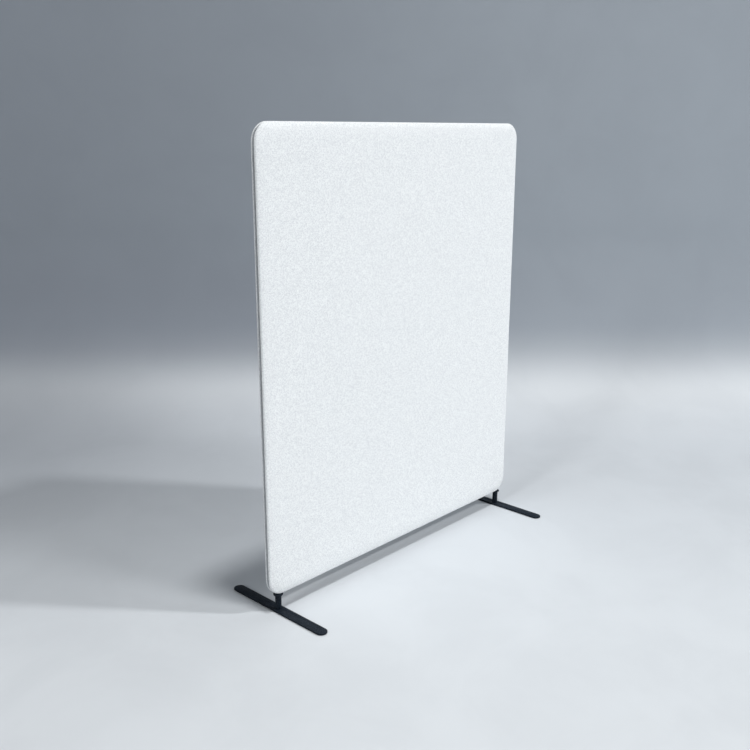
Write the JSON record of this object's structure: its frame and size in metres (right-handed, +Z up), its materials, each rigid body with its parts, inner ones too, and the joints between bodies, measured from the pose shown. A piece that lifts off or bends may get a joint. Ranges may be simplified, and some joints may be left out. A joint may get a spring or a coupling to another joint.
{
  "type": "acoustic divider screen",
  "caption": "Free-standing upholstered acoustic screen with rounded corners, a zip round its edge, and flat steel feet on short round posts that turn in line for storage.",
  "frame": {"origin": "on the floor, in the middle of the rectangle that the screen covers as seen from above", "axes": "+Z up, +X along the panel to the right as its front is faced, -Y out of the front face towards the viewer"},
  "size_m": [1.2, 0.414, 1.44],
  "materials": {
    "timber": "matte",
    "block_board": "matte",
    "dowel_wood": "matte",
    "absorber": "matte",
    "wadding": "matte",
    "felt_fabric": "matte",
    "seam_tape": "matte",
    "zip_tape": "matte",
    "zip_coil": "satin",
    "zip_metal": "satin",
    "insert_metal": "satin",
    "bolt_steel": "satin",
    "black_coating": "satin",
    "pad_rubber": "matte"
  },
  "bodies": {
    "panel": {"top_rail": "timber", "bottom_rail": "timber", "left_stile": "timber", "right_stile": "timber", "middle_rail": "timber", "top_left_block": "block_board", "top_right_block": "block_board", "bottom_left_block": "block_board", "bottom_right_block": "block_board", "frame_dowels": "dowel_wood", "upper_core": "absorber", "lower_core": "absorber", "front_wadding": "wadding", "back_wadding": "wadding", "front_cover": "felt_fabric", "back_cover": "felt_fabric", "bottom_seam": "seam_tape", "front_zip_tape": "zip_tape", "back_zip_tape": "zip_tape", "front_zip_coil": "zip_coil", "back_zip_coil": "zip_coil", "zip_end_stops": "zip_metal", "left_insert": "insert_metal", "right_insert": "insert_metal", "left_bolt": "bolt_steel", "right_bolt": "bolt_steel", "left_collar": "black_coating", "right_collar": "black_coating"},
    "left_foot": {"left_post": "black_coating", "left_foot_bar": "black_coating", "left_foot_pads": "pad_rubber"},
    "right_foot": {"right_post": "black_coating", "right_foot_bar": "black_coating", "right_foot_pads": "pad_rubber"},
    "slider": {"zip_slider": "zip_metal"},
    "pull": {"zip_pull": "zip_metal"}
  },
  "joints": [
    {"name": "left_foot_turn", "type": "hinge", "parent": "panel", "child": "left_foot", "pos_m": [-0.56, 0, 0.006], "axis": [0, 0, 1], "range_deg": [-90, 90]},
    {"name": "right_foot_turn", "type": "hinge", "parent": "panel", "child": "right_foot", "pos_m": [0.56, 0, 0.006], "axis": [0, 0, 1], "range_deg": [-90, 90]},
    {"name": "zip_slide", "type": "slide", "parent": "panel", "child": "slider", "axis": [0, 0, 1], "range_m": [0, 1.256]},
    {"name": "pull_swing", "type": "hinge", "parent": "slider", "child": "pull", "pos_m": [0.59785, 0, 0.1233], "axis": [0, -1, 0], "range_deg": [0, 170]}
  ]
}
